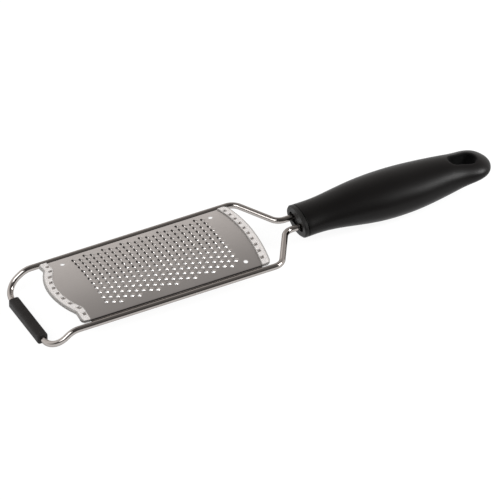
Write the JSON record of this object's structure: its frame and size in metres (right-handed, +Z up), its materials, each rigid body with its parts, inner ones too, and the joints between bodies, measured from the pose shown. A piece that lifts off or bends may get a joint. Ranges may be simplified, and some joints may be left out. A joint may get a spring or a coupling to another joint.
{
  "type": "rasp zester",
  "caption": "Long hand-held rasp grater: an arched steel plate with punched teeth on a bent wire frame, with moulded end trims, a rubber foot sleeve and a rounded handle with a hanging hole.",
  "frame": {"origin": "on the table, in the middle of the whole length, on the middle line", "axes": "+X from the foot to the handle's tail, +Y to the left side, +Z up; the teeth face +Z and cut towards the foot"},
  "size_m": [0.3316, 0.0728, 0.0281],
  "materials": {
    "polished_wire": "polished stainless wire",
    "satin_steel": "satin stainless sheet",
    "clear_trim": "milky translucent moulded plastic",
    "soft_rubber": "soft black rubber",
    "soft_grip": "smooth black soft-touch moulding",
    "black_plastic": "black moulded plastic"
  },
  "bodies": {
    "root": {"wire_frame": "polished_wire", "rasp_plate": "satin_steel", "front_edge_trim": "clear_trim", "rear_edge_trim": "clear_trim", "foot_sleeve": "soft_rubber", "handle": "soft_grip", "handle_end_plug": "black_plastic"}
  },
  "joints": []
}
